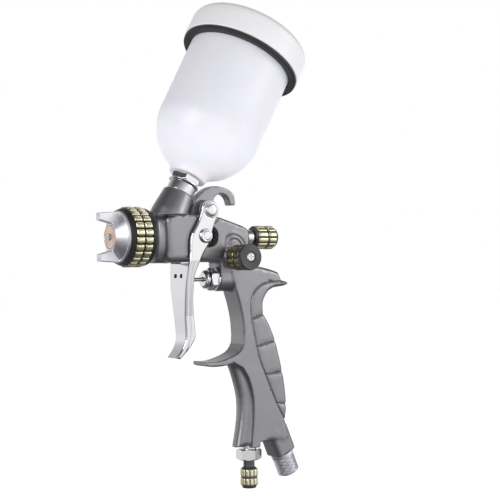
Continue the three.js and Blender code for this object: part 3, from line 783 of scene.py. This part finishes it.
insert_face = [(-57.1, r + 0.02) if k % 2 else (-57.02, r) for k, r in enumerate(np.linspace(2.4, 5.7, 15))]
spin(
    "air_cap_disc", [(-55.7, 1.9), (-57.1, 1.9), *insert_face, (-57.1, 6.1), (-55.7, 6.1)],
    BARREL, X_AXIS, "air_cap", "copper", ["air_cap_insert"], ease=0.08,
)
spin(
    "cap_retainer", sleeve(-46.9, -45.8, 13.1, 14.8), BARREL, X_AXIS,
    "ring_screw", "plastic", ["cap_retaining_ring"],
)


# ---------- grips: pillow pads on a brass band ----------
PAD_SHARE = 0.43  # half a pad's share of its pitch


def pad_height(rows, pads):
    def height(along, turn):
        around_pad = ((turn * pads / (2 * math.pi)) % 1 - 0.5) / PAD_SHARE
        across = np.clip(1 - np.abs(around_pad) ** 3, 0, 1) ** 0.5
        total = np.zeros_like(along)
        for start, end in rows:
            place = (along - (start + end) / 2) / (abs(end - start) / 2)
            lengthwise = np.clip(1 - np.abs(place) ** 5, 0, 1) ** 0.5
            total = np.maximum(total, across * lengthwise)
        return total

    return height


def grip(name, rows, base, axis, body, inner, core, tip, pads, steps, look="brass"):
    """One band for each row of pads."""
    height = pad_height(rows, pads)

    def raised(along, turn, radius):
        return radius + (tip - core) * height(along, turn) * (radius > core - 0.02)

    for number, (start, end) in enumerate(rows):
        spin(
            f"{name}_{number}", sleeve(start, end, inner, core), base, axis, body, "brass", look=look,
            ease=0.1, steps=steps, pace=0.22 * VOXEL, shape=raised,
            # the pads' sides and the gaps between them get painted shade from this depth
            tone=lambda along, turn: 1 - height(along, turn),
        )


RING_ROWS = [(-48.95, -44.05), (-43.4, -38.75)]
spin(
    "ring_core",
    [
        (-51.6, 14.5), (-51.6, 15), (-49.2, 16), (-49, 15.35, 0), (-44.05, 15.35, 0), (-44, 15.6),
        (-43.45, 15.6), (-43.4, 15.35, 0), (-38.75, 15.35, 0), (-38.6, 16), (-37.2, 16), (-35.9, 15.5),
        (-35.9, 12.8), (-45.4, 12.8), (-45.4, 15.2), (-49.3, 15.2), (-49.3, 14.5),
    ],
    BARREL, X_AXIS, "air_cap_ring", "black", ["air_cap_ring"], steps=160, ease=0.25,
)
grip("ring_grip", RING_ROWS, BARREL, X_AXIS, "air_cap_ring", 15.37, 15.5, 16.7, 24, 576)


def knob(name, start, end, rows, radius, rim, base, axis, body, node, front, back, look="brass"):
    """A black knob with two rows of pads. front and back are the ends of its profile, from the axis."""
    core = radius - 0.75
    toward = 1 if end > start else -1
    profile = [*front, (start, core - 0.7, 0.3), (start + 0.8 * toward, core, 0.3)]
    for first, last in rows if toward > 0 else [r[::-1] for r in rows]:
        profile += [
            (first - 0.05 * toward, core + 0.1, 0.1), (first - 0.02 * toward, core - 0.35, 0),
            (last + 0.02 * toward, core - 0.35, 0), (last + 0.05 * toward, core + 0.1, 0.1),
        ]
    profile += [(end - 1.2 * toward, rim, 0.7), (end, rim - 0.4, 0.7), *back]
    spin(name, profile, base, axis, body, "black", [node], "knob_black", steps=128, ease=0.2)
    grip(name + "_grip", rows, base, axis, body, core - 0.33, core, radius, 12, 432, look)


def ringed(place, outer, inner, count, depth):
    """Fine turning marks on a flat end, from its rim inwards."""
    radii = np.linspace(outer, inner, count)
    return [(place - (depth if k % 2 else 0), r, 0.05) for k, r in enumerate(radii)]


knob(
    "fluid_knob_grip_body", 36.4, 52.1, [(37.4, 44.3), (45, 50.4)], 7.1, 6, BARREL, X_AXIS,
    "fluid_knob", "fluid_knob",
    [(36, 0), (36, 1.9, 0), (21.4, 1.9), (21.4, 2.8), (36.4, 2.8, 0.1)],
    [*ringed(52.1, 4.8, 0.6, 13, 0.06), (52.1, 0)],
)
knob(
    "fan_knob_grip_body", -11.9, -26.4, [(-12.9, -18.2), (-18.9, -24.2)], 7.5, 7.45, FAN, Y_AXIS,
    "fan_knob", "fan_knob",
    [(1.2, 0), (1.2, 1.9), (-11.9, 1.9, 0.1)],
    [*ringed(-26.4, 6.4, 3.3, 12, -0.05), (-26.4, 3), (-25.2, 3), (-25.2, 1.5), (-20, 1.5), (-20, 0)],
    # the fan knob's pads take the brass darkened as painted shade
    look="shaded_brass",
)
knob(
    "micrometer_grip_body", -134, -146, [(-134.8, -139.4), (-140, -144.4)], 5.35, 4.4, MICROMETER, Z_AXIS,
    "micrometer_knob", "micrometer_knob",
    [(-75, 0), (-75, 0.6), (-80, 1.8), (-130, 1.8, 0), (-130, 3.3), (-134, 3.3, 0.1)],
    [*ringed(-146, 3.6, 0.5, 10, -0.05), (-146, 0)],
)

# ---------- turned pieces along the barrel ----------
spin(
    "nozzle",
    [
        (-57.4, 0.7), (-57.4, 1.4), (-55.2, 1.5), (-50.2, 4.6), (-47.7, 4.6), (-47.7, 6.2, 0.3),
        (-44.9, 6.2, 0.3), (-44.9, 4.7), (-37, 4.7), (-37, 2.2), (-52, 2.2), (-56.2, 0.7),
    ],
    BARREL, X_AXIS, "gun", "steel", ["fluid_nozzle"], ease=0.1, steps=144, shape=hexed(11.4, -47.8, -44.8),
)
spin("distributor", sleeve(-46.8, -44.9, 6.6, 11.2), BARREL, X_AXIS, "gun", "plastic", ["air_distributor"])
spin("needle_gland", sleeve(-15.6, -11.6, 1.4, 2.7), BARREL, X_AXIS, "gun", "plastic", ["needle_packing"])
spin(
    "gland_nut", sleeve(-11.2, -7.4, 1.4, 2.7), BARREL, X_AXIS, "gun", "brass", ["packing_nut"],
    tone=lambda along, turn: 0 * along,
)
spin(
    "needle",
    [
        (-57.4, 0), (-57.4, 0.15), (-56.2, 0.4), (-53.4, 1.1), (4.5, 1.1), (4.5, 1.5), (28.8, 1.5, 0.3),
        (29, 1.3), (29, 0),
    ],
    BARREL, X_AXIS, "needle", "steel", ["fluid_needle"], ease=0.1, steps=64,
)
spin(
    "needle_stop", sleeve(0.75, 4.2, 1.5, 3.5), BARREL, X_AXIS, "needle", "steel", ["needle_collar"],
    ease=0.3,
)
needle_coil = coil("needle_coil", 4.8, 19.4, 2.7, 0.4, 7, BARREL, "gun", "needle_spring")
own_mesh(needle_coil)
spin(
    "needle_guide", [(22.3, 3.4), (22.3, 4.5), (35.4, 4.5, 0.4), (36, 4.1), (36, 3.4)], BARREL, X_AXIS,
    "gun", "chrome", ["adjuster_sleeve"],
)
spin(
    "spring_cup", sleeve(19.8, 21, 1.8, 3.1), BARREL, X_AXIS,
    "fluid_screw", "plastic", ["needle_spring_seat"],
)

# ---------- pivot ----------
spin(
    "pivot_screw",
    [
        (-13.1, 0), (-13.05, 1.6, 0.4), (-12.9, 2.7, 0.8), (-12.3, 3.6, 0.5), (-11.7, 3.6), (-11.7, 2),
        (11.6, 2), (11.6, 1.4), (13, 1.4), (13, 0),
    ],
    PIVOT, Y_AXIS, "gun", "chrome", ["pivot_pin"],
)
spin(
    "pivot_ring", [(11.9, 1.7), (11.9, 3.6), (12.8, 3.3, 0.4), (13.1, 2.6, 0.3), (13.1, 1.7)],
    PIVOT, Y_AXIS, "gun", "chrome", ["pivot_nut"],
)

# ---------- air valve ----------
spin(
    "valve_housing",
    [
        (5, 3.1), (5, 5.4, 0.1), (5.9, 6.5, 0.1), (9.2, 6.5, 0), (9.2, 6.6, 0.2), (10.2, 6.6), (10.2, 4.2),
        (16, 4.2), (16, 1.5), (8.2, 1.5), (8.2, 3.1),
    ],
    VALVE, X_AXIS, "gun", "chrome", ["air_valve_housing"],
    steps=144, pace=0.4, ease=0.15, shape=hexed(11.2, 4.9, 9.15),
)
spin(
    "valve_gland",
    [
        (1.8, 1.4), (1.8, 3.8), (2.9, 5.3, 0.5), (4, 5.3, 0.3), (4.5, 4.6), (4.5, 2.8), (6.4, 2.8),
        (6.4, 1.4),
    ],
    VALVE, X_AXIS, "gun", "chrome", ["valve_packing_nut"],
)
spin("valve_packing", sleeve(6.8, 7.9, 1.4, 2.8), VALVE, X_AXIS, "gun", "plastic", ["stem_packing"])
spin(
    "valve_stem", [(-12, 0), (-12, 0.7), (-11.6, 1.1), (19, 1.1), (19, 0)], VALVE, X_AXIS,
    "air_stem", "steel", ["air_valve_stem"], steps=64,
)
spin("poppet", sleeve(16.4, 18.6, 1.4, 3.6), VALVE, X_AXIS, "air_stem", "rubber", ["valve_poppet"], ease=0.4)
valve_coil = coil("valve_coil", 19.2, 34, 3, 0.45, 7, VALVE, "gun", "air_valve_spring")
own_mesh(valve_coil)

# ---------- fan control ----------
spin(
    "fan_gland",
    [(-11.5, 2.2), (-11.5, 5.2), (-11.2, 5.6), (-10.3, 5.6), (-10.3, 3.3), (-5.3, 3.3), (-5.3, 2.2)],
    FAN, Y_AXIS, "gun", "black", ["fan_bushing"],
)
spin("fan_ring_seal", sleeve(-0.9, 0.2, 2.2, 3.3), FAN, Y_AXIS, "fan_screw", "rubber", ["fan_seal"], ease=0.4)


def screw_field(p):
    x, _, z = p
    along, out = polar(p, FAN, Y_AXIS)
    head = both(np.abs(along + 25.95) - 0.45, out - 2.7 + 0.5 * step(-along, 26.0, 26.4), 0.2)
    shank = both(np.abs(along + 23) - 2.6, out - 1.2, 0.2)
    cross = np.minimum(np.abs(x - FAN[0]), np.abs(z - FAN[2])) - 0.34
    recess_floor = np.maximum(np.maximum(cross, out - 1.75), along + 25.75)
    return blend_max(np.minimum(head, shank), -recess_floor, 0.08)


carved(
    "fan_cap_screw", screw_field, FAN + [-3, -26.7, -3], FAN + [3, -20, 3], 0.12,
    "fan_knob", "chrome", ["fan_knob_screw"],
)

# ---------- air inlet and air micrometer ----------
THREAD_R = 6.5785
THREAD_PITCH = 1.337


def threaded(along, turn, radius):
    phase = (along / THREAD_PITCH - turn / (2 * math.pi)) % 1
    wave = np.abs(phase - 0.5) * 2
    fade = step(along, -10.3, -9.6) * step(-along, 0.6, 1.1)
    outer = (radius > THREAD_R - 1.3) & (along > -10.4)
    return np.where(outer, radius - 0.84 * fade * step(wave, 0.12, 0.88), radius)


spin(
    "inlet_nipple",
    [
        (0, 4), (0, 5.4, 0.2), (-0.9, 6.57, 0.1), (-10.3, 6.57, 0), (-10.5, 6.1), (-11, 6.1),
        (-11.3, 6.75, 0.3), (-13.6, 6.75, 0.3), (-13.6, 4.3), (-25, 4.3), (-25, 3), (-3, 3), (-3, 4),
    ],
    INLET, INLET_AXIS, "gun", "chrome", ["air_inlet_nipple"], "satin",
    steps=144, pace=0.14 * VOXEL, shape=threaded,
)
spin(
    "micrometer_nut",
    [
        (-129.6, 2.4), (-129.6, 6.2, 0.1), (-128.8, 7.6, 0.1), (-124, 7.6, 0.1), (-123.2, 6.2, 0.1),
        (-123.2, 4.3), (-114, 4.3), (-114, 2.4),
    ],
    MICROMETER, Z_AXIS, "gun", "chrome", ["micrometer_housing"],
    steps=144, pace=0.4, shape=hexed(13, -129.7, -123.1, turned=25),
)
spin(
    "micrometer_ring", sleeve(-104.9, -103.9, 2.1, 2.8), MICROMETER, Z_AXIS,
    "micrometer_screw", "rubber", ["micrometer_seal"], ease=0.3,
)

# ---------- cup, lid and their fittings ----------
spin(
    "cup_collar",
    [
        (-13.6, 5.5), (-13.6, 7.2), (-6.1, 7.2), (-6.1, 8, 0.2), (-0.9, 8, 0.4), (-0.3, 7.6), (-0.3, 5.5),
    ],
    CUP, CUP_AXIS, "gun", "chrome", ["inlet_collar"], steps=128,
)
spin(
    "cup_nut",
    [
        (-12, 3.6), (-12, 5.2), (-0.1, 5.2), (0, 8.8, 0.2), (0.6, 8.8, 0.2), (0.6, 8.2, 0.1), (1.3, 9.1, 0.1),
        (3.8, 9.1, 0.1), (4.5, 8, 0.1), (4.5, 6.2), (10, 6.2), (10, 3.6),
    ],
    CUP, CUP_AXIS, "cup", "chrome", ["cup_adapter"], steps=144, pace=0.4, shape=hexed(15.6, 0.65, 4.49),
)
spin(
    "cup_filter", [(-9, 0), (-9, 3.2), (12.6, 3.2), (12.6, 2.5), (-8, 2.5), (-8, 0)], CUP, CUP_AXIS,
    "cup", "plastic", ["paint_filter"], ease=0.3,
)
spin(
    "cup_shell",
    [
        *smooth(
            [(4.9, 10.6), (8.5, 12.3), (11.5, 16.3), (15.5, 21.3), (23.2, 26.8), (32.7, 30), (42, 30.3)], 42
        ),
        (97, 30.8), (97, 28.9),
        *smooth([(42, 28.6), (33, 28.1), (24.2, 25.2), (16.9, 20), (13, 14.8), (11.6, 9.6)], 20),
        (11, 6.5), (4.9, 6.5),
    ],
    CUP, CUP_AXIS, "cup", "cup", ["cup"], steps=192, ease=0.4,
)
spin(
    "cup_ring", [(82, 31.2), (82, 34.8, 0.3), (82.5, 35.4, 0.3), (84, 35.4, 0.3), (84, 31.2)], CUP, CUP_AXIS,
    "cup", "rubber", ["cup_band"], steps=192,
)
spin(
    "cup_lid",
    [
        (84.4, 33.6), (84.4, 35.93), (95, 35.83, 1.0), *arc(96.5, 30.55, 5.25, 90, 15, 10)[1:],
        (102.6, 20, 2), (103, 2.2), (100.6, 2.2), (100.2, 20, 2), (99.4, 30), (96.5, 33.6),
    ],
    CUP, CUP_AXIS, "lid", "lid", ["lid"], steps=192, ease=0.4,
)
spin(
    "lid_gasket", sleeve(97.4, 98.9, 28.6, 30.4), CUP, CUP_AXIS, "lid", "plastic", ["lid_seal"],
    steps=160, ease=0.3,
)
spin(
    "drip_valve", [(96.5, 0), (96.5, 2.6), (97.4, 4), (99.8, 4), (99.8, 1.8), (102.8, 1.8), (102.8, 0)],
    CUP, CUP_AXIS, "lid", "plastic", ["drip_check_valve"], ease=0.3,
)

# ---------- camera, floor and light ----------
AZIMUTH, ELEVATION, ROLL = math.radians(-35.06), math.radians(-0.98), math.radians(0.95)
DISTANCE = 0.622
LENS, SENSOR = 78.6, 36  # in millimetres
ASIDE, BELOW = 0.0290, -0.0072  # of the barrel's zero, which stands left of and above the middle

back = np.array([
    math.sin(AZIMUTH) * math.cos(ELEVATION), -math.cos(AZIMUTH) * math.cos(ELEVATION), math.sin(ELEVATION)
])
right = np.array([math.cos(AZIMUTH), math.sin(AZIMUTH), 0])
up = np.cross(back, right)
right, up = (
    right * math.cos(ROLL) - up * math.sin(ROLL),
    right * math.sin(ROLL) + up * math.cos(ROLL),
)
camera = bpy.data.objects.new("camera", bpy.data.cameras.new("camera"))
camera.data.sensor_width = SENSOR
camera.data.lens = LENS
camera.data.clip_end = 50
camera.matrix_world = Matrix.Translation(
    Vector(ORIGIN * MM + right * ASIDE + up * BELOW + back * DISTANCE)
) @ Matrix(np.stack([right, up, back], 1).tolist()).to_4x4()
bpy.context.scene.collection.objects.link(camera)
bpy.context.scene.camera = camera
bpy.context.scene.view_settings.view_transform = "Standard"

FLOOR_DROP = 0.09  # the gun hangs by its hook, clear of the floor
FLOOR_HALF = 6.0
floor_z = cad_box[0][2] - FLOOR_DROP
floor_mesh = bpy.data.meshes.new("floor")
corners = [(x * FLOOR_HALF, y * FLOOR_HALF) for x, y in ((-1, -1), (1, -1), (1, 1), (-1, 1))]
floor_mesh.from_pydata([(x, y, floor_z) for x, y in corners], [], [(0, 1, 2, 3)])
floor = bpy.data.objects.new("floor", floor_mesh)
floor.visible_glossy = False
floor.visible_shadow = False
bpy.context.scene.collection.objects.link(floor)
ground = Look("ground", 0.0, Roughness=0.9, Emission_Strength=0.76, Emission_Color=(1, 1, 1, 1))
ground.colour(ground.colours(ground.noise(3, 2), *around((0.88, 0.88, 0.88), 0.01)))
floor_mesh.materials.append(materials["ground"])


def area(name, place, aim, size, power):
    data = bpy.data.lights.new(name, "AREA")
    data.shape = "DISK"
    data.size = size
    data.energy = power
    lamp = bpy.data.objects.new(name, data)
    lamp.location = place
    lamp.rotation_euler = (Vector(aim) - Vector(place)).to_track_quat("-Z", "Y").to_euler()
    bpy.context.scene.collection.objects.link(lamp)


area("key", (1.3, -1.1, 0.5), (0, 0, 0), 0.9, 4)
area("fill", (-1.4, -0.5, 0.5), (0, 0, 0), 1.0, 8)


def from_camera(degrees):
    """A place on the radial ramp, from an angle to the right of the camera's own side."""
    return degrees / 360 + 0.5


world = bpy.data.worlds.new("studio")
bpy.context.scene.world = world
world.use_nodes = True
nodes, links = world.node_tree.nodes, world.node_tree.links
direction = nodes.new("ShaderNodeTexCoord").outputs["Generated"]
parts = nodes.new("ShaderNodeSeparateXYZ")
links.new(direction, parts.inputs[0])
height = nodes.new("ShaderNodeMapRange")
height.inputs["From Min"].default_value = -1
links.new(parts.outputs["Z"], height.inputs["Value"])
by_height = nodes.new("ShaderNodeValToRGB")
links.new(height.outputs[0], by_height.inputs[0])
# brightness by the direction round the horizon, from behind the gun past its left, the camera and its right
ROUND = [
    (from_camera(angle), level)
    for angle, level in (
        (-180, 1.0), (-135, 0.95), (-110, 0.82), (-85, 0.4), (-60, 0.32), (-30, 0.45), (0, 0.78), (25, 0.92),
        (45, 1.0), (85, 1.04), (105, 0.8), (122, 0.4), (140, 0.55), (165, 1.0), (180, 1.0),
    )
]
SKY = [(0.0, 0.1), (0.24, 0.22), (0.38, 0.8), (0.48, 1.0), (0.58, 1.0), (0.7, 0.6), (0.85, 0.28), (1.0, 0.22)]
fill_ramp(by_height, [(place, [level] * 3) for place, level in SKY])
turned_round = nodes.new("ShaderNodeMapping")
turned_round.vector_type = "POINT"
turned_round.inputs["Rotation"].default_value[2] = -math.atan2(back[1], back[0])
links.new(direction, turned_round.inputs[0])
radial = nodes.new("ShaderNodeTexGradient")
radial.gradient_type = "RADIAL"
links.new(turned_round.outputs[0], radial.inputs[0])
sideways = nodes.new("ShaderNodeValToRGB")
links.new(radial.outputs[0], sideways.inputs[0])
fill_ramp(sideways, [(place, [level] * 3) for place, level in ROUND])
level = nodes.new("ShaderNodeVectorMath")
level.operation = "MULTIPLY"
links.new(by_height.outputs[0], level.inputs[0])
links.new(sideways.outputs[0], level.inputs[1])
lit = nodes["Background"]
links.new(level.outputs[0], lit.inputs["Color"])
seen = nodes.new("ShaderNodeBackground")
seen.inputs["Color"].default_value = (1, 1, 1, 1)
pick = nodes.new("ShaderNodeMixShader")
links.new(nodes.new("ShaderNodeLightPath").outputs["Is Camera Ray"], pick.inputs[0])
links.new(lit.outputs[0], pick.inputs[1])
links.new(seen.outputs[0], pick.inputs[2])
links.new(pick.outputs[0], nodes["World Output"].inputs["Surface"])
